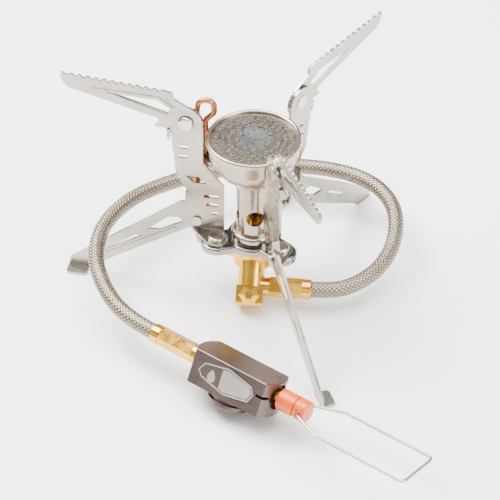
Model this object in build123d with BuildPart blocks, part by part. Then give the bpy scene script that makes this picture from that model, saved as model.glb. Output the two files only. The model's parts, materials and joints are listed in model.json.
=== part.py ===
from build123d import *
import os
from math import cos, pi, radians, sin, tan

# Liquid-feed canister stove, standing open on its three legs.
# Origin: on the burner's axis at ground level. +Z is up. Units are millimetres.
# Each leg assembly is drawn once, with +X pointing outwards, and placed three times round Z.

# ---- legs and pot supports -------------------------------------------------------------
SIDES = ["left", "front", "rear"]
FIRST_AZIMUTH = 169.0        # direction of the left leg, the others follow every 120 degrees
LEAN = 3.0                   # the upright plates lean this much about their outward line
FOOT_OFFSET = 3.4            # sideways offset of a plate from the radial line, at the ground
SHEET = 1.2                  # stainless sheet thickness
PLAY = 0.1                   # gap between plates that slide on each other
PIN_PLAY = 0.05              # radial clearance of a pin in a moving plate
ARM_PIVOT = (32.3, 94.8)     # (outwards, up) of the pot support's pin
LEG_PIVOT = (27.3, 38.7)     # (outwards, up) of the folding leg's pin
ARM_PIN_R = 2.2
LEG_PIN_R = 1.7
TOOTH_COUNT = 12
TOOTH_PITCH = 3.95

# ---- base plate and its upright rivets ---------------------------------------------------
BASE_TOP = 33.2
BASE_THICK = 1.4
BASE_DEPTH = 3.6             # height of the turned-down rim
LOBE_RADIUS = 18.5           # distance of each upright rivet from the burner's axis
LOBE_ANGLE = 26.3            # rivet's angle ahead of its leg
LOBE_R = 7.4
TAB_BOTTOM = BASE_TOP + PLAY
TAB_TOP = TAB_BOTTOM + SHEET
BASE_PIN_R = 2.4

# ---- burner -------------------------------------------------------------------------------
TUBE_R = 8.4
TUBE_WALL = 0.7
COLLAR_R = 10.8
RIM_R = 22.4
RIM_TOP = 91.4
PLATE_TOP = 90.0
PLATE_R = 20.3
HOLE_RINGS = [(7.8, 12), (11.7, 24), (14.7, 30), (17.8, 36)]   # (ring radius, holes)
FLAME_HOLE_R = 0.65
AIR_HOLE_R = 4.3
AIR_HOLE_Z = 48.5

# ---- fuel body under the base plate -------------------------------------------------------
BARREL_AZIMUTH = 264.0       # the inclined barrel points this way
BARREL_TILT = 38.0           # away from straight down
BARREL_TOP = 28.0            # height where the barrel's axis meets the burner's axis
BARREL_FROM = 6.0            # start of the barrel inside the boss, down its axis
BARREL_R = 6.4
BOSS_R = 10.3
BOSS_BOTTOM = 15.5
NECK_R = 6.5
INLET_HALF = 6.5             # half the width of the square inlet block
PORT_DROP = 21.0             # hose port's distance down the barrel
PLUG_DROP = 25.3             # hex plug's distance down the barrel

# ---- preheat tube, a hairpin that stands beside the burner --------------------------------
PREHEAT_R = 1.4
PREHEAT_Y = 10.0
PREHEAT_COLD_X = -26.8
PREHEAT_HOT_X = -22.6
PREHEAT_COLD_Z = 19.2
PREHEAT_HOT_Z = 24.2
CLIP_Z = 72.0
CLIP_AZIMUTH = 158.6

# ---- hose ---------------------------------------------------------------------------------
HOSE_D = 7.8
HOSE_START = 29.4            # hose begins this far out along the inlet port
HOSE_END = -49.0             # hose ends here on the valve's spindle line

# ---- valve that screws on the gas canister ------------------------------------------------
VALVE_AT = (-7.3, -84.3, 16.6)
VALVE_TURN = (-26.2, 1.6, -36.1)   # roll, pitch and heading of the valve block
BLOCK_L = 39.1               # between the block's four upright edges
BLOCK_W = 20.4
BLOCK_H = 16.7
BLOCK_BULGE = 3.1            # how far each rounded end stands out
SPINDLE_Z = 1.15             # spindle axis above the block's centre
SPINDLE_R = 1.8
SPINDLE_TO = 35.2
KNOB_R = 5.2
KNOB_FROM = 23.8             # along the spindle, from the block's centre
KNOB_TO = 39.0
KNOB_FLAT = 4.3              # half the width across the knob's flats
KNOB_PIN_AT = 34.0
KNOB_PIN_R = 0.7
KNOB_PIN_SPIN = 43.0         # turn of the knob's cross pin about the spindle
BAIL_AT = 36.5               # where the wire handle's ends go through the knob
BAIL_SPIN = 14.3             # turn of the handle's hinge about the spindle
BAIL_HALF = [(0, 1.6), (0, 5.6), (14.5, 12.7), (61.5, 12.7)]   # half of the handle: out, sideways
BAIL_BENDS = BAIL_HALF + [(out, -side) for out, side in reversed(BAIL_HALF)]
WIRE_R = 0.75
PIN_AT = (17.2, 5.4)         # stop pin in the top of the block
CANISTER_THREAD_R = 5.12     # minor radius of the 7/16-28 UNEF female thread
COLLAR_AT = -1.0             # canister collar's place along the block
COLLAR_FLANGE_R = 10.3
SEAT_R = 5.6                 # recess above the thread, for the seal and the pin depressor
SEAT_DEEP = 2.3
DEPRESSOR_R = 1.3
DEPRESSOR_FLANGE = 0.8

os.makedirs("parts", exist_ok=True)


def save(solid, label):
    """Label a finished piece and write its STEP file."""
    solid.label = label
    export_step(solid, f"parts/{label}.step")


# ---- frames -------------------------------------------------------------------------------
LEAN_FRAME = Location((0, FOOT_OFFSET, 0), (LEAN, 0, 0))


def leaned(plane):
    """The same plane, carried from an upright leg assembly to the leaning one."""
    return Plane(LEAN_FRAME * plane.location)


def sheet_plane(high):
    """Sketch plane of a leaning sheet, (outwards, up), extruded down from the normal offset high."""
    return leaned(Plane.XZ.offset(-high))


def pin_plane(pivot, start, way):
    """Plane on a leaning sheet's pivot at normal offset start, looking along the pin in the given way."""
    return leaned(Plane(origin=(pivot[0], start, pivot[1]), x_dir=(1, 0, 0), z_dir=(0, way, 0)))


def leg_place(index):
    return Location((0, 0, 0), (0, 0, FIRST_AZIMUTH + 120 * index))


BARREL_OUT = Vector(sin(radians(BARREL_TILT)) * cos(radians(BARREL_AZIMUTH)),
                    sin(radians(BARREL_TILT)) * sin(radians(BARREL_AZIMUTH)),
                    -cos(radians(BARREL_TILT)))
PORT_OUT = Vector(cos(radians(BARREL_AZIMUTH + 90)), sin(radians(BARREL_AZIMUTH + 90)), 0)
# barrel frame: x along the hose port, y towards the hex plug, z down the barrel
BARREL = Plane(origin=(0, 0, BARREL_TOP), x_dir=PORT_OUT, z_dir=BARREL_OUT)

# valve frame: x along the spindle to the knob, y to the back, z up out of the block's top
VALVE_PLACE = (Location(VALVE_AT) * Location((0, 0, 0), (0, 0, VALVE_TURN[2]))
               * Location((0, 0, 0), (0, VALVE_TURN[1], 0)) * Location((0, 0, 0), (VALVE_TURN[0], 0, 0)))


def radial_plane(x, y, z):
    """Plane on the burner's axis at height z, looking out towards the point (x, y)."""
    return Plane(origin=(0, 0, z), x_dir=(0, 0, 1), z_dir=(x, y, 0))


preheat_inlets = [radial_plane(PREHEAT_HOT_X, PREHEAT_Y, PREHEAT_HOT_Z),
                  radial_plane(PREHEAT_COLD_X, PREHEAT_Y, PREHEAT_COLD_Z)]
preheat_path = [
    preheat_inlets[0].from_local_coords((0, 0, 9)),
    (PREHEAT_HOT_X, PREHEAT_Y, PREHEAT_HOT_Z),
    (PREHEAT_HOT_X, PREHEAT_Y, 94.0),
    (-18.5, PREHEAT_Y, 98.0),
    (-18.5, PREHEAT_Y, 105.2),
    (-25.9, PREHEAT_Y, 105.2),
    (PREHEAT_COLD_X, PREHEAT_Y, 96.5),
    (PREHEAT_COLD_X, PREHEAT_Y, PREHEAT_COLD_Z),
    preheat_inlets[1].from_local_coords((0, 0, 9)),
]


# =========================================================================================
# Leg assemblies
# =========================================================================================
def bracket():
    """Upright plate: two pivots, two bent stops, weight-saving slots and a bent tab for the base rivet."""
    with BuildPart() as plate:
        with BuildSketch(sheet_plane(SHEET / 2)):
            with BuildLine():
                Polyline((24.4, 94.8), (24.4, 72), (14.2, 60.3), (14.2, 33.4), (29.6, 33.4), (34.2, 39.6),
                         (34.2, 44.3), (32.0, 49), (32.0, 55.4), (37.6, 65), (40.2, 91.2), (40.2, 94.8),
                         close=True)
            make_face()
            with Locations(ARM_PIVOT):
                Circle(8)
            with Locations((33.8, 80.3), (34, 75)):
                SlotOverall(5, 1.8, mode=Mode.SUBTRACT)
            with Locations((20.6, 53.6)):
                Rectangle(7, 1.8, mode=Mode.SUBTRACT)
            with Locations((20, 48.8)):
                Rectangle(5.8, 1.8, mode=Mode.SUBTRACT)
            with Locations((18.6, 44)):
                Rectangle(3.2, 1.8, mode=Mode.SUBTRACT)
            with BuildLine():
                Polyline((33, 64.4), (26.6, 64.4), (22.8, 60.5), (28.8, 60.5), close=True)
            make_face(mode=Mode.SUBTRACT)
            with Locations(ARM_PIVOT):
                Circle(ARM_PIN_R, mode=Mode.SUBTRACT)
            with Locations(LEG_PIVOT):
                Circle(LEG_PIN_R, mode=Mode.SUBTRACT)
        extrude(amount=SHEET)
        # stop under the pot support, bent out to the arm's side
        with BuildSketch(sheet_plane(SHEET / 2 + 2.2)):
            with Locations((40.7, 88.1)):
                Rectangle(SHEET, 5.8)
        extrude(amount=SHEET + 2.2)
        # stop above the folding leg, bent out to the leg's side
        with BuildSketch(sheet_plane(SHEET / 2)):
            with Locations((32.5, 51.3)):
                Rectangle(SHEET, 6.2)
        extrude(amount=SHEET + 2.2)
        # level tab round the base rivet
        with BuildSketch(Plane.XY.offset(TAB_BOTTOM)):
            with BuildLine():
                Polyline((14.2, 1.1), (29.5, 1.1), (29.5, 3), (21, 11.8), (11.3, 7.5), (14.2, 2.2),
                         close=True)
            make_face()
            with Locations(rivet_spot()):
                Circle(5.6)
                Circle(BASE_PIN_R + PIN_PLAY, mode=Mode.SUBTRACT)
        extrude(amount=SHEET)
    return plate.part


def rivet_spot():
    return (LOBE_RADIUS * cos(radians(LOBE_ANGLE)), LOBE_RADIUS * sin(radians(LOBE_ANGLE)))


def pot_support():
    """Serrated arm with a pressed rim round its window and a spur that rests on the bracket's stop."""
    near = SHEET / 2 + PLAY
    with BuildPart() as arm:
        with BuildSketch(sheet_plane(near + SHEET)):
            with BuildLine():
                Polyline((25, 98.5), (28.4, 102), (37.8, 107.3), (38.6, 110.6), (43, 111.6), (91.4, 115.4),
                         (92, 113.6), (90.2, 109.2), (88.2, 107.6), (45.6, 96), (45.2, 94), (47.3, 91.6),
                         (46.6, 91.1), (39.5, 91.1), (36, 87.5), close=True)
            make_face()
            with Locations(ARM_PIVOT):
                Circle(8)
            with BuildLine():
                Polyline((67.8, 107), (46, 105.9), (39.3, 101.7), (41.2, 99.4), close=True)
            make_face(mode=Mode.SUBTRACT)
            slope = 3.8 / 48.4
            for tooth in range(TOOTH_COUNT):
                out = 45.2 + tooth * TOOTH_PITCH
                with Locations(Location((out, 111.9 + (out - 43) * slope))):
                    SlotOverall(2.5, 2.2, rotation=90, mode=Mode.SUBTRACT)
            with Locations(ARM_PIVOT):
                Circle(ARM_PIN_R + PIN_PLAY, mode=Mode.SUBTRACT)
        extrude(amount=SHEET)
        # pressed rim round the window
        with BuildSketch(sheet_plane(near + SHEET + 0.35)):
            with BuildLine():
                Polyline((81.5, 109.2), (45.2, 107.9), (37.2, 102.6), (41.8, 97.2), close=True)
            make_face()
            fillet(vertices(), 0.7)
            with BuildLine():
                Polyline((71, 107.9), (45.6, 106.6), (38.6, 102), (41.4, 98.6), close=True)
            make_face(mode=Mode.SUBTRACT)
        extrude(amount=0.4)
    return arm.part


def folding_leg():
    """Tapering leg with two windows, a pressed rib and a foot pad bent level at its end."""
    near = -SHEET / 2 - PLAY
    with BuildPart() as leg:
        with BuildSketch(sheet_plane(near)):
            with BuildLine():
                Polyline((23.2, 41), (31, 48), (35.6, 48), (91.3, 6.3), (92.6, 1.2), (82.4, 1.2),
                         (29.4, 34.6), (25.2, 34.6), close=True)
            make_face()
            with Locations(LEG_PIVOT):
                Circle(4.6)
            with BuildLine():
                Polyline((52.1, 29.1), (41.8, 37.8), (36.4, 38.4), (34.6, 36), (46.2, 29.4), close=True)
            make_face(mode=Mode.SUBTRACT)
            with BuildLine():
                Polyline((54.8, 24.6), (58.4, 24.6), (75, 12.4), close=True)
            make_face(mode=Mode.SUBTRACT)
            with Locations(LEG_PIVOT):
                Circle(LEG_PIN_R + PIN_PLAY, mode=Mode.SUBTRACT)
        extrude(amount=SHEET)
        # pressed rib along the lower edge, on the bracket's side
        with BuildSketch(sheet_plane(near + 0.35)):
            with BuildLine():
                Polyline((38, 31.4), (72.6, 10.6), (73.6, 11.6), (38.6, 32.6), close=True)
            make_face()
        extrude(amount=0.4)
        # level foot pad, bent out across the plate
        with BuildSketch(Plane.XY):
            with Locations((87.5, 4.8)):
                Rectangle(10.2, 7)
            fillet(vertices().group_by(Axis.Y)[-1], 1.6)
        extrude(amount=SHEET)
    return leg.part


def along(plane):
    """Axis through a plane's origin, used to sort faces along a tilted direction."""
    return Axis(plane.origin, plane.z_dir)


def rivet(plane, radius, length, head_r, head_h, tail_r, tail_h):
    """Rivet along the plane's normal: tail disc below the plane, shank, and a rounded head at the far end."""
    with BuildPart() as pin:
        with BuildSketch(plane.offset(-tail_h)):
            Circle(tail_r)
        extrude(amount=tail_h)
        with BuildSketch(plane):
            Circle(radius)
        extrude(amount=length)
        with BuildSketch(plane.offset(length)):
            Circle(head_r)
        extrude(amount=head_h)
        fillet(pin.faces().sort_by(along(plane))[-1].edges(), head_h * 0.7)
    return pin.part


pin_length = 2 * SHEET + 2 * PLAY
arm_pin = pin_plane(ARM_PIVOT, -SHEET / 2, 1)
leg_pin = pin_plane(LEG_PIVOT, SHEET / 2, -1)
leg_pieces = {
    "bracket": bracket(),
    "pot_support": pot_support(),
    "folding_leg": folding_leg(),
    "arm_rivet": rivet(arm_pin, ARM_PIN_R, pin_length, 3.9, 1.7, 3.4, 0.3),
    "leg_rivet": rivet(leg_pin, LEG_PIN_R, pin_length, 3.4, 1.6, 2.4, 1.0),
}
for index, side in enumerate(SIDES):
    for name, shape in leg_pieces.items():
        save(shape.moved(leg_place(index)), f"{name}_{side}")

# =========================================================================================
# Base plate and its rivets
# =========================================================================================
lobe_angles = [FIRST_AZIMUTH + LOBE_ANGLE + 120 * index for index in range(3)]
lobe_spots = [(LOBE_RADIUS * cos(radians(a)), LOBE_RADIUS * sin(radians(a))) for a in lobe_angles]


def base_outline():
    """Three round lobes blended into a round middle."""
    Circle(13.4)
    for angle in lobe_angles:
        with Locations(Location((0, 0), angle)):
            with Locations((LOBE_RADIUS / 2, 0)):
                Rectangle(LOBE_RADIUS, 2 * LOBE_R)
    with Locations(*lobe_spots):
        Circle(LOBE_R)


with BuildPart() as base_plate:
    with BuildSketch(Plane.XY.offset(BASE_TOP - BASE_DEPTH)):
        base_outline()
    extrude(amount=BASE_DEPTH)
    fillet(base_plate.faces().sort_by(Axis.Z)[-1].edges(), 1.1)
    with BuildSketch(Plane.XY.offset(BASE_TOP - BASE_DEPTH)):
        base_outline()
        offset(amount=-BASE_THICK, mode=Mode.REPLACE)
    extrude(amount=BASE_DEPTH - BASE_THICK, mode=Mode.SUBTRACT)
    with BuildSketch(Plane.XY.offset(BASE_TOP - BASE_DEPTH)):
        with Locations(*lobe_spots):
            Circle(BASE_PIN_R)
        Circle(6.55)
    extrude(amount=BASE_DEPTH, mode=Mode.SUBTRACT)
save(base_plate.part, "base_plate")

base_rivets = []
for spot in lobe_spots:
    foot = Plane((spot[0], spot[1], BASE_TOP - BASE_THICK))
    base_rivets.append(rivet(foot, BASE_PIN_R, TAB_TOP + PLAY - (BASE_TOP - BASE_THICK), 4.1, 1.6, 3.6, 1.2))
save(Compound(children=base_rivets), "base_rivets")

# =========================================================================================
# Burner
# =========================================================================================
with BuildPart() as mixing_tube:
    with BuildSketch(Plane.XY.offset(BASE_TOP)):
        Circle(COLLAR_R)
    extrude(amount=4.4)
    fillet(mixing_tube.faces().sort_by(Axis.Z)[-1].edges(), 1.6)
    with BuildSketch(Plane.XY.offset(BASE_TOP)):
        Circle(TUBE_R)
    extrude(amount=35)
    with BuildSketch(Plane.XY.offset(BASE_TOP)):
        Circle(6.55)
    extrude(amount=4.8, mode=Mode.SUBTRACT)
    with BuildSketch(Plane.XY.offset(BASE_TOP + 4.8)):
        Circle(TUBE_R - TUBE_WALL)
    extrude(amount=35, mode=Mode.SUBTRACT)
    for quarter in range(4):
        angle = radians(275 + 90 * quarter)
        with BuildSketch(Plane(origin=(0, 0, AIR_HOLE_Z), x_dir=(0, 0, 1), z_dir=(cos(angle), sin(angle), 0))):
            Circle(AIR_HOLE_R)
        extrude(amount=COLLAR_R, mode=Mode.SUBTRACT)
save(mixing_tube.part, "mixing_tube")

with BuildPart() as burner_head:
    with BuildSketch(Plane.XZ):
        with BuildLine():
            Spline((9.4, 68), (15.6, 72.6), (18.7, 76.8), (21, 82))
            Polyline((21, 82), (21.3, 88.4), (RIM_R, 89.2), (RIM_R, RIM_TOP - 0.9))
            ThreePointArc((RIM_R, RIM_TOP - 0.9), (21.4, RIM_TOP), (PLATE_R, RIM_TOP - 1.0))
            Polyline((PLATE_R, RIM_TOP - 1.0), (PLATE_R, 82.4), (18, 77.4), (14.8, 73.4), (8.45, 68.9),
                     (8.45, 64.4), (9.2, 64.4), (9.2, 65.6), (9.8, 66.2), (9.8, 67.2), (9.4, 68))
        make_face()
    revolve(axis=Axis.Z)
save(burner_head.part, "burner_head")

with BuildPart() as flame_plate:
    with BuildSketch(Plane.XZ):
        with BuildLine():
            Polyline((0, PLATE_TOP - 0.5), (6, PLATE_TOP - 0.3), (10, PLATE_TOP), (PLATE_R, PLATE_TOP),
                     (PLATE_R, PLATE_TOP - 0.7), (10, PLATE_TOP - 0.7), (6, PLATE_TOP - 1.0),
                     (0, PLATE_TOP - 1.2), close=True)
        make_face()
    revolve(axis=Axis.Z)
    with BuildSketch(Plane.XY.offset(PLATE_TOP - 2)):
        for ring_r, holes in HOLE_RINGS:
            with PolarLocations(ring_r, holes):
                Circle(FLAME_HOLE_R)
    extrude(amount=4, mode=Mode.SUBTRACT)
save(flame_plate.part, "flame_plate")

# =========================================================================================
# Fuel body, jet and preheat tube
# =========================================================================================
with BuildPart() as jet_body:
    with BuildSketch(Plane.XY.offset(BOSS_BOTTOM)):
        Circle(BOSS_R)
    extrude(amount=BASE_TOP - BASE_THICK - BOSS_BOTTOM)
    fillet(jet_body.faces().sort_by(Axis.Z)[0].edges(), 4)
    with BuildSketch(Plane.XY.offset(BASE_TOP - BASE_THICK)):
        Circle(NECK_R)
    extrude(amount=6)
    with BuildSketch(BARREL.offset(BARREL_FROM)):
        Circle(BARREL_R)
    extrude(amount=30, mode=Mode.SUBTRACT)
    with BuildSketch(Plane.XY.offset(24)):
        Circle(0.9)
    extrude(amount=20, mode=Mode.SUBTRACT)
    with BuildSketch(Plane.XY.offset(31)):
        Circle(2)
    extrude(amount=20, mode=Mode.SUBTRACT)
    for inlet in preheat_inlets:
        with BuildSketch(inlet.offset(4)):
            Circle(PREHEAT_R)
        extrude(amount=10, mode=Mode.SUBTRACT)
        with BuildSketch(inlet.offset(9.6)):
            Circle(2.6)
        extrude(amount=4, mode=Mode.SUBTRACT)
save(jet_body.part, "jet_body")

with BuildPart() as jet_nozzle:
    with BuildSketch(Plane.XY.offset(31.5)):
        Circle(2)
    extrude(amount=6.3)
    with BuildSketch(Plane.XY.offset(37.8)):
        RegularPolygon(3.5, 6)
    extrude(amount=3.4)
    with BuildSketch(Plane.XY.offset(41.2)):
        Circle(1.7)
    extrude(amount=7)
    with BuildSketch(Plane.XY.offset(31.5)):
        Circle(0.8)
    extrude(amount=16, mode=Mode.SUBTRACT)
    with BuildSketch(Plane.XY.offset(31.5)):
        Circle(0.2)
    extrude(amount=20, mode=Mode.SUBTRACT)
save(jet_nozzle.part, "jet_nozzle")

with BuildPart() as generator_tube:
    with BuildLine():
        FilletPolyline(*preheat_path, radius=[5, 3, 3, 3.65, 3.65, 3, 5])
    with BuildSketch(Plane(origin=preheat_path[0], x_dir=(0, 0, 1), z_dir=preheat_inlets[0].z_dir)):
        Circle(PREHEAT_R)
    sweep()
save(generator_tube.part, "generator_tube")

ferrules = []
for inlet in preheat_inlets:
    with BuildPart() as ferrule:
        with BuildSketch(inlet.offset(9.6)):
            Circle(2.6)
            Circle(PREHEAT_R, mode=Mode.SUBTRACT)
        extrude(amount=3.6)
        with BuildSketch(inlet.offset(13.2)):
            Circle(2)
            Circle(PREHEAT_R, mode=Mode.SUBTRACT)
        extrude(amount=1.2)
    ferrules.append(ferrule.part)
save(Compound(children=ferrules), "generator_ferrules")

with BuildPart() as generator_clip:
    with BuildSketch(Plane.XY.offset(CLIP_Z)):
        with Locations(Location((0, 0), CLIP_AZIMUTH)):
            with Locations((22.9, 0)):
                Rectangle(14.6, 6)
        fillet(vertices().sort_by_distance((0, 0, CLIP_Z))[2:], 1.2)
        with Locations((PREHEAT_HOT_X, PREHEAT_Y), (PREHEAT_COLD_X, PREHEAT_Y)):
            Circle(PREHEAT_R + 0.05, mode=Mode.SUBTRACT)
    extrude(amount=1)
save(generator_clip.part, "generator_clip")

# =========================================================================================
# Inlet block on the inclined barrel, drawn in the barrel frame
# =========================================================================================
PORT = Plane(origin=(0, 0, PORT_DROP), x_dir=(0, 0, 1), z_dir=(1, 0, 0))
PLUG = Plane(origin=(0, INLET_HALF, PLUG_DROP), x_dir=(1, 0, 0), z_dir=(0, 1, 0))

with BuildPart() as inlet_block:
    with BuildSketch(Plane.XY.offset(BARREL_FROM)):
        Circle(BARREL_R)
    extrude(amount=PORT_DROP - BARREL_FROM)
    with BuildSketch(Plane.XY.offset(BARREL_FROM + 0.5)):
        Circle(BARREL_R)
        Circle(BARREL_R - 1.2, mode=Mode.SUBTRACT)
    extrude(amount=1.5, mode=Mode.SUBTRACT)
    with BuildSketch(Plane.XY.offset(20)):
        Circle(BARREL_R)
        Circle(BARREL_R - 0.6, mode=Mode.SUBTRACT)
    extrude(amount=0.6, mode=Mode.SUBTRACT)
    with BuildSketch(Plane.YZ.offset(-INLET_HALF)):
        with BuildLine():
            FilletPolyline((-INLET_HALF, 20.9), (-INLET_HALF, 31), (INLET_HALF, 31), (INLET_HALF, 20.9),
                           radius=[6, 3], close=False)
            Line((INLET_HALF, 20.9), (-INLET_HALF, 20.9))
        make_face()
    extrude(amount=2 * INLET_HALF)
    with BuildSketch(PORT):
        Circle(4.5)
    extrude(amount=INLET_HALF)
    with BuildSketch(PORT):
        Circle(1.6)
    extrude(amount=INLET_HALF, mode=Mode.SUBTRACT)
    with BuildSketch(Plane.XY.offset(BARREL_FROM)):
        Circle(2.2)
    extrude(amount=PORT_DROP - BARREL_FROM, mode=Mode.SUBTRACT)
    with BuildSketch(PLUG.offset(-4)):
        Circle(2)
    extrude(amount=4, mode=Mode.SUBTRACT)
save(inlet_block.part.moved(BARREL.location), "inlet_block")

with BuildPart() as block_seal:
    with BuildSketch(Plane.XY.offset(BARREL_FROM + 0.5)):
        Circle(BARREL_R)
        Circle(BARREL_R - 1.2, mode=Mode.SUBTRACT)
    extrude(amount=1.5)
save(block_seal.part.moved(BARREL.location), "block_seal")

with BuildPart() as inlet_filter:
    with BuildSketch(Plane.XY.offset(BARREL_FROM + 0.5)):
        Circle(2.2)
        Circle(1.2, mode=Mode.SUBTRACT)
    extrude(amount=8)
save(inlet_filter.part.moved(BARREL.location), "inlet_filter")

with BuildPart() as block_plug:
    with BuildSketch(PLUG.offset(-3.6)):
        Circle(2)
    extrude(amount=3.6)
    with BuildSketch(PLUG):
        RegularPolygon(4.95, 6)
    extrude(amount=1.5)
    with BuildSketch(PLUG.offset(1.5)):
        RegularPolygon(4.95, 6)
    extrude(amount=2.2, taper=48)
save(block_plug.part.moved(BARREL.location), "block_plug")


def hose_fitting(collar_r, hex_flats, lengths, crimp_r):
    """Swivel hose end along +Z: round collar, long hexagon, crimped sleeve, and a bore all the way."""
    collar, hexagon, crimp = lengths
    with BuildPart() as fitting:
        with BuildSketch(Plane.XY):
            Circle(collar_r)
        extrude(amount=collar)
        with BuildSketch(Plane.XY.offset(collar)):
            RegularPolygon(hex_flats / 2 / cos(radians(30)), 6)
        extrude(amount=hexagon)
        with BuildSketch(Plane.XY.offset(collar + hexagon)):
            Circle(crimp_r)
        extrude(amount=crimp)
        chamfer(fitting.faces().sort_by(Axis.Z)[-1].edges(), 0.5)
        with BuildSketch(Plane.XY):
            Circle(1.6)
        extrude(amount=collar + hexagon + crimp, mode=Mode.SUBTRACT)
    return fitting.part


burner_end = hose_fitting(4.6, 8.4, (2.5, HOSE_START - INLET_HALF - 7.0, 4.5), 4.9)
burner_port = Plane(origin=(INLET_HALF, 0, PORT_DROP), x_dir=(0, 0, 1), z_dir=(1, 0, 0))
save(burner_end.moved(burner_port.location).moved(BARREL.location), "hose_fitting_burner")

# =========================================================================================
# Hose
# =========================================================================================
hose_start = BARREL.from_local_coords((HOSE_START, 0, PORT_DROP))
hose_end = (VALVE_PLACE * Location((HOSE_END, 0, SPINDLE_Z))).position
hose_path = [
    tuple(hose_start),
    (38.4, -17.0, 11.4),
    (49.5, -12.8, 12.0),
    (60.0, -3.6, 13.0),
    (67.2, 9.0, 14.4),
    (70.8, 25.0, 16.9),
    (69.6, 40.4, 18.7),
    (62.4, 53.2, 20.1),
    (50.4, 61.9, 21.0),
    (33.0, 66.8, 21.6),
    (9.0, 68.6, 21.9),
    (-15.5, 64.6, 22.3),
    (-38.5, 54.8, 23.0),
    (-59.5, 40.8, 23.9),
    (-73.3, 19.4, 24.4),
    (-77.2, -3.4, 23.7),
    (-71.8, -26.0, 21.8),
    (-60.3, -45.0, 19.5),
    tuple(hose_end),
]
hose_radii = []
for before, corner, after in zip(hose_path, hose_path[1:], hose_path[2:]):
    run_in = Vector(*corner) - Vector(*before)
    run_out = Vector(*after) - Vector(*corner)
    turn = run_in.get_angle(run_out)
    hose_radii.append(0.45 * min(run_in.length, run_out.length) / tan(radians(turn / 2)))
print("hose radii", [round(radius, 1) for radius in hose_radii])

with BuildPart() as hose:
    with BuildLine() as hose_line:
        FilletPolyline(*hose_path, radius=hose_radii)
    with BuildSketch(Plane(origin=hose_start, x_dir=(0, 0, 1), z_dir=PORT_OUT)):
        Circle(HOSE_D / 2)
    sweep()
hose_length = hose_line.wires()[0].length
hose_ratio = hose.part.volume / (hose_length * pi * HOSE_D**2 / 4)
print("hose length", round(hose_length, 1), "volume against section times length", round(hose_ratio, 4))
save(hose.part, "hose")

# =========================================================================================
# Canister valve, drawn in the valve frame
# =========================================================================================
HEART = Plane(origin=(0, 0, SPINDLE_Z), x_dir=(0, 1, 0), z_dir=(1, 0, 0))   # looks along the spindle
UNDER = Plane(origin=(COLLAR_AT, 0, -BLOCK_H / 2), x_dir=(1, 0, 0), z_dir=(0, 0, -1))
BAIL_OUT = (0, cos(radians(BAIL_SPIN)), sin(radians(BAIL_SPIN)))
CROSS_PIN = Plane(origin=(KNOB_PIN_AT, 0, SPINDLE_Z), x_dir=(1, 0, 0),
                  z_dir=(0, cos(radians(KNOB_PIN_SPIN)), sin(radians(KNOB_PIN_SPIN))))


def bail_point(out, side):
    """Point of the wire handle, out along the spindle and sideways along the handle's hinge."""
    return (BAIL_AT + out, side * BAIL_OUT[1], SPINDLE_Z + side * BAIL_OUT[2])


with BuildPart() as valve_body:
    with BuildSketch(Plane.XY.offset(-BLOCK_H / 2)):
        half = BLOCK_L / 2
        side = BLOCK_W / 2
        with BuildLine():
            Line((-half, -side), (half, -side))
            ThreePointArc((half, -side), (half + BLOCK_BULGE, 0), (half, side))
            Line((half, side), (-half, side))
            ThreePointArc((-half, side), (-half - BLOCK_BULGE, 0), (-half, -side))
        make_face()
    extrude(amount=BLOCK_H)
    chamfer(valve_body.faces().sort_by(Axis.Z)[-1].edges(), 0.35)
    # saw cut that lets the rounded end grip the gland
    with BuildSketch(Plane.XZ.offset(2)):
        with Locations((half + 1, SPINDLE_Z)):
            Rectangle(9, 1.4)
    extrude(amount=20, mode=Mode.SUBTRACT)
    # gland recess and spindle bore
    with BuildSketch(HEART.offset(half + BLOCK_BULGE - 2.5)):
        Circle(6.2)
    extrude(amount=10, mode=Mode.SUBTRACT)
    with BuildSketch(HEART.offset(2)):
        Circle(2.2)
    extrude(amount=30, mode=Mode.SUBTRACT)
    with BuildSketch(HEART.offset(-half - BLOCK_BULGE)):
        Circle(1.6)
    extrude(amount=half + BLOCK_BULGE + 2, mode=Mode.SUBTRACT)
    with BuildSketch(UNDER.offset(-BLOCK_H / 2 - SPINDLE_Z)):
        Circle(DEPRESSOR_R)
    extrude(amount=12, mode=Mode.SUBTRACT)
    with BuildSketch(UNDER.offset(-SEAT_DEEP)):
        Circle(SEAT_R)
    extrude(amount=SEAT_DEEP, mode=Mode.SUBTRACT)
    with BuildSketch(Plane.XY.offset(BLOCK_H / 2 - 2)):
        with Locations(PIN_AT):
            Circle(0.9)
    extrude(amount=5, mode=Mode.SUBTRACT)
save(valve_body.part.moved(VALVE_PLACE), "valve_body")

with BuildPart() as stop_pin:
    with BuildSketch(Plane.XY.offset(BLOCK_H / 2 - 2)):
        with Locations(PIN_AT):
            Circle(0.9)
    extrude(amount=2.6)
    fillet(stop_pin.faces().sort_by(Axis.Z)[-1].edges(), 0.4)
save(stop_pin.part.moved(VALVE_PLACE), "stop_pin")

with BuildPart() as canister_collar:
    with BuildSketch(UNDER):
        Circle(9)
    extrude(amount=2.5)
    with BuildSketch(UNDER.offset(2.5)):
        Circle(COLLAR_FLANGE_R)
    extrude(amount=2.5)
    fillet(canister_collar.faces().sort_by(Axis.Z)[0].edges(), 0.8)
    with BuildSketch(UNDER):
        Circle(CANISTER_THREAD_R)
    extrude(amount=6, mode=Mode.SUBTRACT)
save(canister_collar.part.moved(VALVE_PLACE), "canister_collar")

with BuildPart() as collar_seal:
    with BuildSketch(UNDER.offset(-SEAT_DEEP)):
        Circle(SEAT_R)
        Circle(3.2, mode=Mode.SUBTRACT)
    extrude(amount=1.5)
    fillet(collar_seal.faces().sort_by(Axis.Z)[0].edges(), 0.5)
save(collar_seal.part.moved(VALVE_PLACE), "collar_seal")

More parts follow.
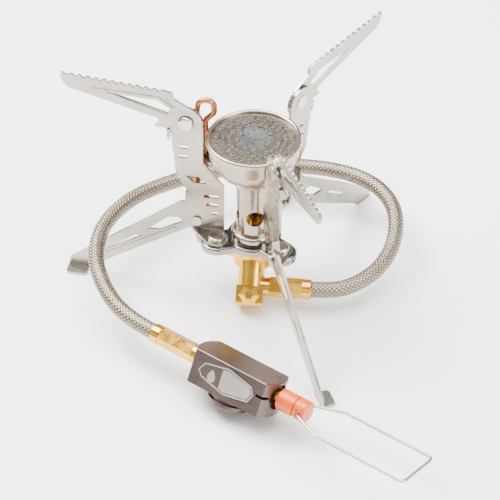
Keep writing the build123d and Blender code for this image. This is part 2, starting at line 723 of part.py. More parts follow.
with BuildPart() as pin_depressor:
    with BuildSketch(UNDER.offset(-SEAT_DEEP - 3)):
        Circle(DEPRESSOR_R)
    extrude(amount=3)
    with BuildSketch(UNDER.offset(-SEAT_DEEP)):
        Circle(2.8)
    extrude(amount=DEPRESSOR_FLANGE)
    with BuildSketch(UNDER.offset(DEPRESSOR_FLANGE - SEAT_DEEP)):
        Circle(1.1)
    extrude(amount=SEAT_DEEP - DEPRESSOR_FLANGE - 0.2)
    with BuildSketch(UNDER.offset(-SEAT_DEEP - 4)):
        Circle(0.5)
    extrude(amount=10, mode=Mode.SUBTRACT)
save(pin_depressor.part.moved(VALVE_PLACE), "pin_depressor")

with BuildPart() as gland_nut:
    gland_seat = BLOCK_L / 2 + BLOCK_BULGE - 2.5
    with BuildSketch(HEART.offset(gland_seat - 5)):
        Circle(2.2)
    extrude(amount=5)
    with BuildSketch(HEART.offset(gland_seat)):
        RegularPolygon(4, 6)
    extrude(amount=KNOB_FROM - 0.3 - gland_seat)
    with BuildSketch(HEART.offset(gland_seat - 5)):
        Circle(SPINDLE_R + PIN_PLAY)
    extrude(amount=20, mode=Mode.SUBTRACT)
save(gland_nut.part.moved(VALVE_PLACE), "gland_nut")

with BuildPart() as spindle_seal:
    with BuildSketch(HEART.offset(gland_seat - 7)):
        Circle(2.2)
        Circle(SPINDLE_R + PIN_PLAY, mode=Mode.SUBTRACT)
    extrude(amount=1.6)
save(spindle_seal.part.moved(VALVE_PLACE), "spindle_seal")

valve_end = hose_fitting(4.7, 8.2, (2.5, -HOSE_END - BLOCK_L / 2 - BLOCK_BULGE - 7.0, 4.5), 4.6)
valve_port = Plane(origin=(-BLOCK_L / 2 - BLOCK_BULGE, 0, SPINDLE_Z), x_dir=(0, 1, 0), z_dir=(-1, 0, 0))
save(valve_end.moved(valve_port.location).moved(VALVE_PLACE), "hose_fitting_valve")

# ---- spindle, knob and wire handle ---------------------------------------------------------
with BuildPart() as spindle:
    with BuildSketch(HEART.offset(5)):
        Circle(SPINDLE_R)
    extrude(amount=SPINDLE_TO - 5)
    chamfer(spindle.faces().sort_by(Axis.X)[0].edges(), 1.2)
    with BuildSketch(CROSS_PIN):
        Circle(KNOB_PIN_R)
    extrude(amount=10, both=True, mode=Mode.SUBTRACT)
save(spindle.part.moved(VALVE_PLACE), "spindle")

with BuildPart() as knob:
    with BuildSketch(HEART.offset(KNOB_FROM)):
        Circle(KNOB_R)
    extrude(amount=KNOB_TO - KNOB_FROM)
    chamfer(knob.edges().filter_by(GeomType.CIRCLE), 0.4)
    with BuildSketch(HEART.offset(KNOB_FROM + 9)):
        Circle(KNOB_R)
        Circle(KNOB_R - 0.7, mode=Mode.SUBTRACT)
    extrude(amount=0.7, mode=Mode.SUBTRACT)
    # flats where the wire handle pivots
    with BuildSketch(HEART.offset(KNOB_FROM + 11)):
        with Locations(Location((0, 0), BAIL_SPIN)):
            with Locations((KNOB_FLAT + 2, 0), (-KNOB_FLAT - 2, 0)):
                Rectangle(4, 20)
    extrude(amount=10, mode=Mode.SUBTRACT)
    # cross hole for the handle
    with BuildSketch(Plane(origin=(BAIL_AT, 0, SPINDLE_Z), x_dir=(1, 0, 0), z_dir=BAIL_OUT)):
        Circle(WIRE_R + PIN_PLAY)
    extrude(amount=10, both=True, mode=Mode.SUBTRACT)
    # hole for the cross pin that holds the knob on its spindle
    with BuildSketch(CROSS_PIN):
        Circle(KNOB_PIN_R)
    extrude(amount=10, both=True, mode=Mode.SUBTRACT)
    with BuildSketch(HEART.offset(KNOB_FROM)):
        Circle(SPINDLE_R)
    extrude(amount=SPINDLE_TO - KNOB_FROM, mode=Mode.SUBTRACT)
save(knob.part.moved(VALVE_PLACE), "knob")

with BuildPart() as knob_pin:
    with BuildSketch(CROSS_PIN.offset(-6)):
        Circle(KNOB_PIN_R)
    extrude(amount=12)
save(knob_pin.part.moved(VALVE_PLACE), "knob_pin")

with BuildPart() as bail:
    with BuildLine():
        bends = [bail_point(out, side) for out, side in BAIL_BENDS]
        FilletPolyline(*bends, radius=[1.5, 2.5, 2.5, 2.5, 2.5, 1.5])
    with BuildSketch(Plane(origin=bail_point(*BAIL_BENDS[0]), x_dir=(1, 0, 0), z_dir=BAIL_OUT)):
        Circle(WIRE_R)
    sweep()
save(bail.part.moved(VALVE_PLACE), "bail")
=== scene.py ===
import json
from math import cos, pi, radians, sin, sqrt

import bpy
from mathutils import Matrix, Vector


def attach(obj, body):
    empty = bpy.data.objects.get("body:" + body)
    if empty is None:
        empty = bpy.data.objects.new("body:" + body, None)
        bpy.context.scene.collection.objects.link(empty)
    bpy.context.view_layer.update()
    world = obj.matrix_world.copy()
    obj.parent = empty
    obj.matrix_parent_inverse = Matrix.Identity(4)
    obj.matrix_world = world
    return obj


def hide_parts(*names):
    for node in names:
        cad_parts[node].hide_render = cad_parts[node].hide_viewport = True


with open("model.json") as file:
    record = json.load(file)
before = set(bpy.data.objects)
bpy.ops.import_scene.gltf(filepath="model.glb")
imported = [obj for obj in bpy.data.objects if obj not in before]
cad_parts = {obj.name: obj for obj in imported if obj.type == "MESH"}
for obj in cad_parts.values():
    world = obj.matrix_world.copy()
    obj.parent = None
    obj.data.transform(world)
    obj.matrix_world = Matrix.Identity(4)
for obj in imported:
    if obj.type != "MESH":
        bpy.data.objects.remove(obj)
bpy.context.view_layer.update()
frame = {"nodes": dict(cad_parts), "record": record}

# Looks of a canister stove: studio, camera, braided hose, burner and valve details, and finishes.
# Everything is in metres, in the stove's own frame. MM turns a millimetre into metres.
MM = 0.001
NODES = frame["nodes"]

# ---- camera ---------------------------------------------------------------------------
CAMERA_AT = Vector((-1.8, -881.0, 760.0)) * MM
CAMERA_ELEVATION = 39.92
LENS = 171.0

# ---- hose -----------------------------------------------------------------------------
HOSE_R = 3.9 * MM
HOSE_ROUTE = [
    (27.89, -15.93, 11.45),
    (38.4, -17.0, 11.4),
    (49.5, -12.8, 12.0),
    (60.0, -3.6, 13.0),
    (67.2, 9.0, 14.4),
    (70.8, 25.0, 16.9),
    (69.6, 40.4, 18.7),
    (62.4, 53.2, 20.1),
    (50.4, 61.9, 21.0),
    (33.0, 66.8, 21.6),
    (9.0, 68.6, 21.9),
    (-15.5, 64.6, 22.3),
    (-38.5, 54.8, 23.0),
    (-59.5, 40.8, 23.9),
    (-73.3, 19.4, 24.4),
    (-77.2, -3.4, 23.7),
    (-71.8, -26.0, 21.8),
    (-60.3, -45.0, 19.5),
    (-46.55, -55.03, 18.99),
]
BRAID_BANDS = 12            # bands of wire each way round the hose
BRAID_PITCH = 2.1 * MM     # length of one crossing along the hose
BRAID_RELIEF = 0.34 * MM
BRAID_WIRES = 5             # wires side by side in a band
RING_STEP = 0.3 * MM
POINTS_ROUND = 84

# ---- burner and valve, as the CAD has them ----------------------------------------------
FLAME_RINGS = [(7.8, 12), (11.7, 24), (14.7, 30), (17.8, 36)]
FLAME_TOP = 90.0 * MM
PLATE_R = 20.3 * MM
TUBE_TOP = 108.0 * MM
BURR_R = 0.77 * MM           # a little wider than the holes
BURR_TUBE = 0.15 * MM
BURR_LIFT = 0.02 * MM
# A near-black sheet just under the flame plate: painted shade seen through the flame holes.
SHADE_SHEET_R = 19.6 * MM
SHADE_SHEET_LEVELS = [FLAME_TOP - 1.7 * MM, FLAME_TOP - 1.5 * MM]
VALVE_AT = Vector((-7.3, -84.3, 16.6)) * MM
VALVE_TURN = (-26.2, 1.6, -36.1)
BLOCK_UNDER = -8.35          # the block's underside and front side, in the valve's own millimetres
BLOCK_SIDE = -10.2
BADGE_LIFT = 0.06
BADGE_THICK = 0.2
COLLAR_AT = -1.0             # the canister collar's place along the block
THREAD_PITCH = 0.907         # 28 turns to the inch
THREAD_TURNS = 5
THREAD_FROM = 1.7            # depth of the thread's first ridge below the block
RIDGE_R = 5.05
RIDGE_TUBE = 0.3


# =======================================================================================
# Shader helpers
# =======================================================================================
class Shader:
    """A material under construction: adds nodes and links them with short calls."""

    def __init__(self, name, color, metallic, roughness):
        self.material = bpy.data.materials.new(name)
        self.material.use_nodes = True
        self.tree = self.material.node_tree
        self.surface = self.tree.nodes["Principled BSDF"]
        self.surface.inputs["Base Color"].default_value = (*color, 1)
        self.surface.inputs["Metallic"].default_value = metallic
        self.surface.inputs["Roughness"].default_value = roughness
        self.coordinates = self.tree.nodes.new("ShaderNodeTexCoord")

    def node(self, kind, **settings):
        made = self.tree.nodes.new(kind)
        for key, value in settings.items():
            setattr(made, key, value)
        return made

    def link(self, output, target):
        self.tree.links.new(output, target)

    def math(self, operation, first, second=None, third=None):
        made = self.node("ShaderNodeMath", operation=operation)
        for socket, value in zip(made.inputs, (first, second, third)):
            if value is None:
                continue
            if isinstance(value, (int, float)):
                socket.default_value = value
            else:
                self.link(value, socket)
        return made.outputs[0]

    def noise(self, scale, detail=3.0, stretch=(1, 1, 1), distortion=0.0):
        mapping = self.node("ShaderNodeMapping")
        mapping.inputs["Scale"].default_value = stretch
        self.link(self.coordinates.outputs["Object"], mapping.inputs["Vector"])
        made = self.node("ShaderNodeTexNoise")
        made.inputs["Scale"].default_value = scale
        made.inputs["Detail"].default_value = detail
        made.inputs["Distortion"].default_value = distortion
        self.link(mapping.outputs["Vector"], made.inputs["Vector"])
        return made.outputs["Fac"]

    def ramp(self, factor, stops):
        """Colour ramp; stops are (position, colour or grey)."""
        made = self.node("ShaderNodeValToRGB")
        elements = made.color_ramp.elements
        while len(elements) < len(stops):
            elements.new(0.5)
        for element, (position, value) in zip(elements, stops):
            element.position = position
            element.color = (value, value, value, 1) if isinstance(value, float) else (*value, 1)
        self.link(factor, made.inputs["Fac"])
        return made.outputs["Color"]

    def mix(self, factor, first, second, blend="MIX"):
        made = self.node("ShaderNodeMix", data_type="RGBA", blend_type=blend)
        sockets = [s for s in made.inputs if s.type == "RGBA"]
        for socket, value in ((made.inputs[0], factor), (sockets[0], first), (sockets[1], second)):
            if isinstance(value, tuple):
                socket.default_value = (*value, 1)
            elif isinstance(value, (int, float)):
                socket.default_value = value
            else:
                self.link(value, socket)
        return [s for s in made.outputs if s.type == "RGBA"][0]

    def color(self, output):
        self.link(output, self.surface.inputs["Base Color"])

    def roughness(self, factor, low, high):
        self.link(self.ramp(factor, [(0.3, low), (0.7, high)]), self.surface.inputs["Roughness"])

    def bump(self, height, strength, distance, rounding=0.0):
        """Bump from a height; rounding softens the edges by that radius."""
        made = self.node("ShaderNodeBump")
        made.inputs["Strength"].default_value = strength
        made.inputs["Distance"].default_value = distance
        self.link(height, made.inputs["Height"])
        if rounding:
            edge = self.node("ShaderNodeBevel", samples=4)
            edge.inputs["Radius"].default_value = rounding
            self.link(edge.outputs["Normal"], made.inputs["Normal"])
        self.link(made.outputs["Normal"], self.surface.inputs["Normal"])

    def radius(self):
        """Distance from the burner's axis, and the height, both in metres."""
        split = self.node("ShaderNodeSeparateXYZ")
        self.link(self.coordinates.outputs["Object"], split.inputs[0])
        across = self.math("MULTIPLY", split.outputs["X"], split.outputs["X"])
        along = self.math("MULTIPLY", split.outputs["Y"], split.outputs["Y"])
        return self.math("SQRT", self.math("ADD", across, along)), split.outputs["Z"]


# =======================================================================================
# Finishes
# =======================================================================================
def sheet_steel():
    """Stamped and tumbled stainless: fine grain, faint scratches, slightly warm."""
    shader = Shader("leg_steel", (0.62, 0.59, 0.55), 1.0, 0.28)
    grain = shader.noise(900, 4)
    cloud = shader.noise(55, 3, distortion=0.6)
    scratch = shader.noise(260, 5, (1, 7, 0.6), 1.5)
    tone = shader.ramp(cloud, [(0.3, (0.30, 0.27, 0.23)), (0.7, (0.46, 0.42, 0.365))])
    shader.color(shader.mix(shader.math("MULTIPLY", scratch, 0.22), tone, (0.62, 0.58, 0.52)))
    shader.roughness(cloud, 0.16, 0.34)
    shader.bump(shader.math("ADD", grain, shader.math("MULTIPLY", scratch, 0.6)), 0.10, 0.0002, 0.22 * MM)
    return shader.material


def turned_steel(name, color, tint, low, high):
    """Stainless turned or spun about the burner's axis, with a heat tint in patches."""
    shader = Shader(name, color, 1.0, low)
    lines = shader.noise(60, 3, (1, 1, 45))
    cloud = shader.noise(38, 3, distortion=1.0)
    shader.color(shader.mix(shader.ramp(cloud, [(0.35, 0.0), (0.75, 0.85)]), color, tint))
    polish = shader.math("ADD", shader.math("MULTIPLY", lines, 0.7), shader.math("MULTIPLY", cloud, 0.3))
    shader.roughness(polish, low, high)
    shader.bump(lines, 0.12, 0.0003, 0.2 * MM)
    return shader.material


def flame_steel():
    """Perforated plate: straw at the rim, grey-blue in the middle from the flame's heat."""
    shader = Shader("flame_steel", (0.42, 0.42, 0.44), 1.0, 0.32)
    radius, _ = shader.radius()
    spread = shader.math("ADD", shader.math("DIVIDE", radius, PLATE_R),
                         shader.math("MULTIPLY", shader.math("SUBTRACT", shader.noise(130, 3), 0.5), 0.22))
    shader.color(shader.ramp(spread, [(0.0, (0.22, 0.235, 0.235)), (0.3, (0.24, 0.245, 0.24)),
                                      (0.5, (0.20, 0.175, 0.15)), (0.75, (0.19, 0.165, 0.135)),
                                      (1.0, (0.26, 0.22, 0.18))]))
    shader.roughness(shader.noise(500, 3), 0.24, 0.40)
    shader.bump(shader.noise(700, 4), 0.04, 0.0001)
    return shader.material


def plain_metal(name, dark, light, low, high, cloud_scale=70, grain=0.12, rounding=0.2 * MM):
    """Machined or plated metal whose tone and gloss drift a little over the surface."""
    shader = Shader(name, light, 1.0, low)
    cloud = shader.noise(cloud_scale, 4, distortion=0.5)
    shader.color(shader.ramp(cloud, [(0.3, dark), (0.7, light)]))
    shader.roughness(shader.noise(cloud_scale * 4, 3), low, high)
    shader.bump(shader.noise(1400, 3), grain, 0.00015, rounding)
    return shader.material


def copper_tube():
    """Preheat tube: copper alloy browned and purpled by the flame near its loop."""
    shader = Shader("copper_tube", (0.45, 0.20, 0.10), 1.0, 0.3)
    _, height = shader.radius()
    heat = shader.math("ADD", shader.math("DIVIDE", height, TUBE_TOP),
                       shader.math("MULTIPLY", shader.math("SUBTRACT", shader.noise(160, 3), 0.5), 0.3))
    shader.color(shader.ramp(heat, [(0.15, (0.55, 0.33, 0.14)), (0.55, (0.42, 0.17, 0.07)),
                                    (0.8, (0.30, 0.105, 0.045)), (1.0, (0.52, 0.20, 0.085))]))
    shader.roughness(shader.noise(600, 3), 0.2, 0.42)
    shader.bump(shader.noise(900, 3), 0.15, 0.0002)
    return shader.material


def braid_steel():
    """Braided sleeve: the wires lie along their own band; painted shade darkens the crevices between wires
    and the gaps between bands.
    """
    shader = Shader("hose_braid", (0.62, 0.56, 0.47), 1.0, 0.3)
    split = shader.node("ShaderNodeSeparateXYZ")
    shader.link(shader.coordinates.outputs["UV"], split.inputs[0])
    right = shader.math("ADD", split.outputs["X"], split.outputs["Y"])
    left = shader.math("SUBTRACT", split.outputs["X"], split.outputs["Y"])
    cells = shader.math("ADD", shader.math("FLOOR", right), shader.math("FLOOR", left))
    over = shader.math("ROUND", shader.math("FRACT", shader.math("MULTIPLY", cells, 0.5)))
    across_right = shader.math("FRACT", right)
    across_left = shader.math("FRACT", left)
    across = shader.math("ADD", shader.math("MULTIPLY", across_left, over),
                         shader.math("MULTIPLY", across_right, shader.math("SUBTRACT", 1.0, over)))
    along = shader.math("ADD", shader.math("MULTIPLY", across_right, over),
                        shader.math("MULTIPLY", across_left, shader.math("SUBTRACT", 1.0, over)))
    # wire, dip, edge and crown darken each band at its wires' sides, its edges and where it dives under:
    # painted shade.
    wire = shader.math("ABSOLUTE", shader.math("SINE", shader.math("MULTIPLY", across, pi * BRAID_WIRES)))
    dip = shader.math("SINE", shader.math("MULTIPLY", along, pi))
    edge = shader.math("SINE", shader.math("MULTIPLY", across, pi))
    crown = shader.math("POWER", shader.math("MULTIPLY", dip, edge), 0.35)
    shade = shader.math("MULTIPLY", shader.math("POWER", wire, 0.4), crown)
    tone = shader.ramp(shader.noise(45, 3), [(0.35, (0.50, 0.42, 0.31)), (0.65, (0.64, 0.56, 0.45))])
    # The near-black colour mixed in where the braid's relief is deep is painted shade.
    shader.color(shader.mix(shader.math("POWER", shade, 1.8), (0.05, 0.035, 0.02), tone))
    shader.roughness(shade, 0.5, 0.22)
    shader.bump(shader.math("MULTIPLY", wire, edge), 0.5, 0.0001)
    return shader.material


def anodised(name, dark, light, low, high, metallic=0.92, rounding=0.2 * MM):
    """Anodised aluminium: blasted or turned surface under a tinted film."""
    shader = Shader(name, light, metallic, low)
    cloud = shader.noise(60, 3)
    shader.color(shader.ramp(cloud, [(0.3, dark), (0.7, light)]))
    shader.roughness(shader.noise(1100, 3), low, high)
    shader.bump(shader.noise(2600, 4), 0.05, 0.0001, rounding)
    return shader.material


def rubber():
    """Black nitrile."""
    shader = Shader("seal_rubber", (0.02, 0.02, 0.02), 0.0, 0.6)
    shader.roughness(shader.noise(900, 3), 0.5, 0.75)
    shader.bump(shader.noise(1500, 3), 0.2, 0.0001)
    return shader.material


FINISHES = {
    "leg_steel": sheet_steel(),
    "burner_steel": turned_steel("burner_steel", (0.46, 0.40, 0.33), (0.40, 0.31, 0.22), 0.12, 0.30),
    "flame_steel": flame_steel(),
    "base_steel": plain_metal("base_steel", (0.20, 0.185, 0.175), (0.34, 0.32, 0.30), 0.06, 0.16),
    "rivet_steel": plain_metal("rivet_steel", (0.52, 0.48, 0.43), (0.66, 0.62, 0.57), 0.10, 0.24),
    "flame_rim": plain_metal("flame_rim", (0.30, 0.27, 0.23), (0.40, 0.36, 0.31), 0.2, 0.35),
    "jet_brass": plain_metal("jet_brass", (0.70, 0.36, 0.035), (0.86, 0.50, 0.075), 0.16, 0.30, grain=0.03,
                             rounding=0.0),
    # The dark finish given to the stop pin is painted shade.
    "dark_metal": plain_metal("dark_metal", (0.10, 0.09, 0.085), (0.20, 0.18, 0.17), 0.25, 0.45),
    "copper_tube": copper_tube(),
    "hose_braid": braid_steel(),
    "valve_alloy": anodised("valve_alloy", (0.095, 0.070, 0.064), (0.145, 0.108, 0.098), 0.26, 0.38),
    "knob_alloy": anodised("knob_alloy", (0.62, 0.075, 0.0), (0.74, 0.12, 0.0), 0.26, 0.40, 0.15, 0.0),
    "wire_steel": plain_metal("wire_steel", (0.50, 0.47, 0.42), (0.66, 0.62, 0.57), 0.10, 0.2),
    "badge_steel": plain_metal("badge_steel", (0.42, 0.39, 0.36), (0.50, 0.47, 0.43), 0.35, 0.5),
    "seal_rubber": rubber(),
    # Near-black finish of the sheet under the flame plate: painted shade.
    "painted_shade_black": plain_metal("painted_shade_black", (0.012, 0.011, 0.010), (0.03, 0.028, 0.025), 0.6, 0.8),
}


def finish(piece, name):
    """Give a piece one finish in place of whatever it has."""
    piece.data.materials.clear()
    piece.data.materials.append(FINISHES[name])


# The record names each node's finish; the stop pin alone is made darker than its slot, as painted shade for
# the shadow it sits in.
for part in frame["record"]["subparts"]:
    node = part["node"]
    finish(NODES[node], "dark_metal" if node == "stop_pin" else part["material_slot"])


# =======================================================================================
# Pieces
# =======================================================================================
def mesh_piece(name, vertices, faces, look, body, smooth=True):
    """Mesh object with a finish, riding on a body."""
    mesh = bpy.data.meshes.new(name)
    mesh.from_pydata([tuple(v) for v in vertices], [], faces)
    mesh.polygons.foreach_set("use_smooth", [smooth] * len(mesh.polygons))
    mesh.update()
    piece = bpy.data.objects.new(name, mesh)
    bpy.context.scene.collection.objects.link(piece)
    finish(piece, look)
    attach(piece, body)
    return piece


def route_line(points):
    """Points along the NURBS line whose control points are given in millimetres."""
    curve = bpy.data.curves.new("hose_route", "CURVE")
    curve.dimensions = "3D"
    spline = curve.splines.new("NURBS")
    spline.points.add(len(points) - 1)
    for control, place in zip(spline.points, points):
        control.co = (*(Vector(place) * MM), 1)
    spline.order_u = 3
    spline.use_endpoint_u = True
    spline.resolution_u = 40
    holder = bpy.data.objects.new("hose_route", curve)
    bpy.context.scene.collection.objects.link(holder)
    bpy.context.view_layer.update()
    line = bpy.data.meshes.new_from_object(holder)
    places = [vertex.co.copy() for vertex in line.vertices]
    bpy.data.objects.remove(holder)
    bpy.data.curves.remove(curve)
    bpy.data.meshes.remove(line)
    return places


def evenly(places, step):
    """The same line, with points about one step apart."""
    reach = [0.0]
    for first, second in zip(places, places[1:]):
        reach.append(reach[-1] + (second - first).length)
    count = round(reach[-1] / step)
    result = []
    index = 0
    for number in range(count + 1):
        goal = reach[-1] * number / count
        while index < len(places) - 2 and reach[index + 1] < goal:
            index += 1
        part = (goal - reach[index]) / max(reach[index + 1] - reach[index], 1e-9)
        result.append(places[index].lerp(places[index + 1], min(part, 1.0)))
    return result, reach[-1]


def braid_height(right, left):
    """Relief of the braid, 0 to 1: the upper band is crowned across and dips where it dives under."""
    over = (int(right // 1) + int(left // 1)) % 2
    across, along = (left % 1, right % 1) if over else (right % 1, left % 1)
    return 0.6 * sqrt(sin(pi * across)) + 0.4 * sin(pi * along)


def braided_hose():
    line, length = evenly(route_line(HOSE_ROUTE), RING_STEP)
    vertices = []
    faces = []
    coordinates = []
    side = Vector((0, 0, 1))
    for ring, place in enumerate(line):
        ahead = line[min(ring + 1, len(line) - 1)] - line[max(ring - 1, 0)]
        ahead.normalize()
        side = (side - ahead * side.dot(ahead)).normalized()
        other = ahead.cross(side)
        down = ring * RING_STEP / BRAID_PITCH
        for point in range(POINTS_ROUND):
            turn = point / POINTS_ROUND
            height = braid_height(BRAID_BANDS * turn + down, BRAID_BANDS * turn - down)
            reach = HOSE_R - (1.0 - height) * BRAID_RELIEF
            vertices.append(place + (side * cos(2 * pi * turn) + other * sin(2 * pi * turn)) * reach)
    for ring in range(len(line) - 1):
        for point in range(POINTS_ROUND):
            after = (point + 1) % POINTS_ROUND
            base = ring * POINTS_ROUND
            above = base + POINTS_ROUND
            faces.append((base + point, base + after, above + after, above + point))
            near = BRAID_BANDS * point / POINTS_ROUND
            far = BRAID_BANDS * (point + 1) / POINTS_ROUND
            low = ring * RING_STEP / BRAID_PITCH
            high = (ring + 1) * RING_STEP / BRAID_PITCH
            coordinates += [near, low, far, low, far, high, near, high]
    faces.append(tuple(reversed(range(POINTS_ROUND))))
    last = (len(line) - 1) * POINTS_ROUND
    faces.append(tuple(range(last, last + POINTS_ROUND)))
    coordinates += [0.0] * (4 * POINTS_ROUND)
    piece = mesh_piece("hose_braid", vertices, faces, "hose_braid", "root")
    layer = piece.data.uv_layers.new(name="braid")
    layer.data.foreach_set("uv", coordinates)
    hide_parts("hose")


def flat_torus(center, radius, tube, steps, sides):
    """Vertices and faces of a small ring that lies level round its centre."""
    vertices = []
    faces = []
    for step in range(steps):
        angle = 2 * pi * step / steps
        for part in range(sides):
            bend = 2 * pi * part / sides
            out = radius + tube * cos(bend)
            vertices.append(center + Vector((out * cos(angle), out * sin(angle), tube * sin(bend))))
    for step in range(steps):
        for part in range(sides):
            next_step = (step + 1) % steps
            next_part = (part + 1) % sides
            faces.append((step * sides + part, next_step * sides + part, next_step * sides + next_part,
                          step * sides + next_part))
    return vertices, faces


def joined(name, groups, look, body, smooth=True):
    """One piece from several (vertices, faces) groups."""
    vertices = []
    faces = []
    for group_vertices, group_faces in groups:
        start = len(vertices)
        vertices += group_vertices
        faces += [tuple(start + index for index in face) for face in group_faces]
    return mesh_piece(name, vertices, faces, look, body, smooth)


def flame_plate_shade_sheet():
    """A near-black sheet close under the flame plate: painted shade, so the flame holes read dark."""
    count = 64
    vertices = []
    for level in SHADE_SHEET_LEVELS:
        for step in range(count):
            angle = 2 * pi * step / count
            vertices.append((SHADE_SHEET_R * cos(angle), SHADE_SHEET_R * sin(angle), level))
    faces = [tuple(reversed(range(count))), tuple(range(count, 2 * count))]
    for step in range(count):
        after = (step + 1) % count
        faces.append((step, after, count + after, count + step))
    mesh_piece("flame_plate_shade_sheet", vertices, faces, "painted_shade_black", "root", smooth=False)


def flame_hole_rims():
    """Raised burrs round the punched flame holes."""
    groups = []
    for ring_r, holes in FLAME_RINGS:
        for hole in range(holes):
            angle = 2 * pi * hole / holes
            center = Vector((ring_r * MM * cos(angle), ring_r * MM * sin(angle), FLAME_TOP + BURR_LIFT))
            groups.append(flat_torus(center, BURR_R, BURR_TUBE, 16, 6))
    joined("flame_hole_rims", groups, "flame_rim", "root")


roll, pitch, heading = (radians(turn) for turn in VALVE_TURN)
VALVE_LEAN = Matrix.Rotation(pitch, 3, "Y") @ Matrix.Rotation(roll, 3, "X")
VALVE_FRAME = Matrix.Rotation(heading, 3, "Z") @ VALVE_LEAN


def on_valve(x, y, z):
    """A point of the valve's own frame, in millimetres, as a place in the stove's frame."""
    return VALVE_AT + VALVE_FRAME @ (Vector((x, y, z)) * MM)


def flat_shape(outline):
    """A thin plate with the given outline (along the block and up it), on the valve's front side."""
    count = len(outline)
    levels = [BLOCK_SIDE - BADGE_LIFT, BLOCK_SIDE - BADGE_LIFT + BADGE_THICK]
    vertices = [on_valve(x, level, z) for level in levels for x, z in outline]
    faces = [tuple(range(count)), tuple(reversed(range(count, 2 * count)))]
    for index in range(count):
        after = (index + 1) % count
        faces.append((index, index + count, after + count, after))
    return vertices, faces


def flat_ring(outline, width):
    """A thin band inside a closed outline, width millimetres wide, on the valve's front side."""
    count = len(outline)
    inner = []
    for index in range(count):
        before = Vector(outline[index - 1])
        here = Vector(outline[index])
        after = Vector(outline[(index + 1) % count])
        ahead = ((here - before).normalized() + (after - here).normalized()).normalized()
        inner.append((here.x - ahead.y * width, here.y + ahead.x * width))
    face = BLOCK_SIDE - BADGE_LIFT
    back = face + BADGE_THICK
    levels = [(outline, face), (inner, face), (inner, back), (outline, back)]
    vertices = [on_valve(x, y, z) for ring, y in levels for x, z in ring]
    faces = []
    for level in range(4):
        for index in range(count):
            after = (index + 1) % count
            low = level * count
            high = (level + 1) % 4 * count
            faces.append((low + index, low + after, high + after, high + index))
    return vertices, faces


def valve_badge():
    """Plain badge on the valve's side: an eight-sided band, a light panel and a simple flame."""
    outline = [(-15.6, -0.4), (-13.3, -3.2), (0.0, -6.4), (12.9, -4.0), (15.0, 0.2), (12.9, 3.8), (-0.4, 6.6),
               (-13.3, 3.9)]
    panel = [(-3.2, -4.5), (0.0, -5.2), (12.1, -3.1), (13.7, 0.2), (12.1, 3.0), (-0.4, 5.4), (-3.2, 4.8)]
    flame = []
    for step in range(28):
        angle = 2 * pi * step / 28
        reach = 2.5 * (1 - 0.28 * sin(angle)) * (1 + 0.6 * max(0.0, sin(angle)) ** 6)
        flame.append((-8.2 + 0.8 * reach * cos(angle), -0.6 + reach * sin(angle)))
    groups = [flat_ring(outline, 0.6), flat_shape(panel), flat_shape(flame)]
    joined("valve_badge", groups, "badge_steel", "root", smooth=False)


def canister_threads():
    """Helical ridge in the canister collar."""
    per_turn = 48
    sides = 4
    steps = THREAD_TURNS * per_turn
    vertices = []
    for step in range(steps + 1):
        angle = 2 * pi * step / per_turn
        depth = THREAD_FROM + THREAD_PITCH * step / per_turn
        for part in range(sides):
            bend = 2 * pi * part / sides
            out = RIDGE_R + RIDGE_TUBE * cos(bend)
            below = BLOCK_UNDER - depth - RIDGE_TUBE * sin(bend)
            vertices.append(on_valve(COLLAR_AT + out * cos(angle), -out * sin(angle), below))
    faces = []
    for step in range(steps):
        for part in range(sides):
            base = step * sides
            after = (part + 1) % sides
            faces.append((base + part, base + sides + part, base + sides + after, base + after))
    faces.append(tuple(range(sides)))
    faces.append(tuple(reversed(range(steps * sides, steps * sides + sides))))
    mesh_piece("canister_thread_ridges", vertices, faces, "valve_alloy", "root")


braided_hose()
flame_plate_shade_sheet()
flame_hole_rims()
valve_badge()
canister_threads()


# =======================================================================================
# Studio
# =======================================================================================
# Height in the sky and its grey: light and dark bands that the metal mirrors.
SKY_BANDS = [
    (0.0, 0.9),
    (0.04, 0.12),
    (0.16, 0.22),
    (0.3, 1.3),
    (0.5, 1.3),
    (0.62, 0.15),
    (0.8, 0.2),
    (0.9, 1.4),
]


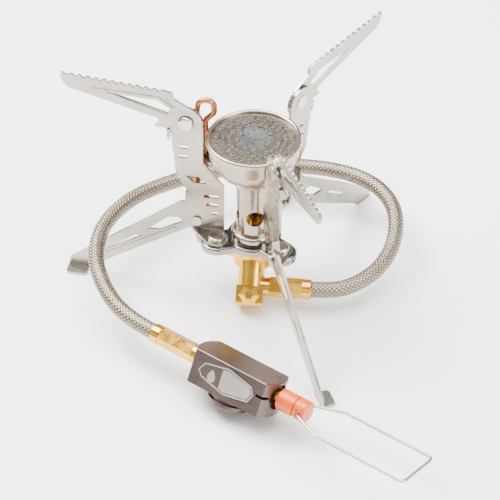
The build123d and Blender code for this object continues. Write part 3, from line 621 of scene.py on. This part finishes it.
def soft_light(name, place, aim, size, power):
    data = bpy.data.lights.new(name, "AREA")
    data.shape = "RECTANGLE"
    data.size, data.size_y = size
    data.energy = power
    light = bpy.data.objects.new(name, data)
    light.location = place
    light.rotation_euler = (Vector(aim) - Vector(place)).to_track_quat("-Z", "Y").to_euler()
    bpy.context.scene.collection.objects.link(light)


def studio():
    floor = bpy.data.meshes.new("floor")
    reach = 4.0
    corners = [(-reach, -reach, 0), (reach, -reach, 0), (reach, reach, 0), (-reach, reach, 0)]
    floor.from_pydata(corners, [], [(0, 1, 2, 3)])
    holder = bpy.data.objects.new("floor", floor)
    bpy.context.scene.collection.objects.link(holder)
    paper = Shader("floor_paper", (0.95, 0.95, 0.95), 0.0, 0.8)
    floor.materials.append(paper.material)

    soft_light("key", (-0.55, 0.35, 0.9), (0, 0, 0.05), (0.7, 0.5), 32)
    soft_light("fill", (0.75, -0.55, 0.6), (0, -0.02, 0.04), (0.6, 0.6), 11)
    soft_light("top", (0.0, 0.1, 1.3), (0, 0, 0), (1.3, 1.3), 46)

    world = bpy.data.worlds.new("studio")
    bpy.context.scene.world = world
    world.use_nodes = True
    tree = world.node_tree
    background = tree.nodes["Background"]
    place = tree.nodes.new("ShaderNodeTexCoord")
    split = tree.nodes.new("ShaderNodeSeparateXYZ")
    tree.links.new(place.outputs["Generated"], split.inputs[0])
    ramp = tree.nodes.new("ShaderNodeValToRGB")
    elements = ramp.color_ramp.elements
    while len(elements) < len(SKY_BANDS):
        elements.new(0.5)
    for element, (position, grey) in zip(elements, SKY_BANDS):
        element.position = position
        element.color = (grey, grey * 0.985, grey * 0.96, 1)
    tree.links.new(split.outputs["Z"], ramp.inputs["Fac"])
    tree.links.new(ramp.outputs["Color"], background.inputs["Color"])
    background.inputs["Strength"].default_value = 1.0


def camera():
    data = bpy.data.cameras.new("view")
    data.lens = LENS
    data.sensor_width = 36
    data.clip_end = 20
    holder = bpy.data.objects.new("view", data)
    holder.location = CAMERA_AT
    tilt = radians(CAMERA_ELEVATION)
    holder.rotation_euler = Vector((0, cos(tilt), -sin(tilt))).to_track_quat("-Z", "Y").to_euler()
    bpy.context.scene.collection.objects.link(holder)
    bpy.context.scene.camera = holder


studio()
camera()
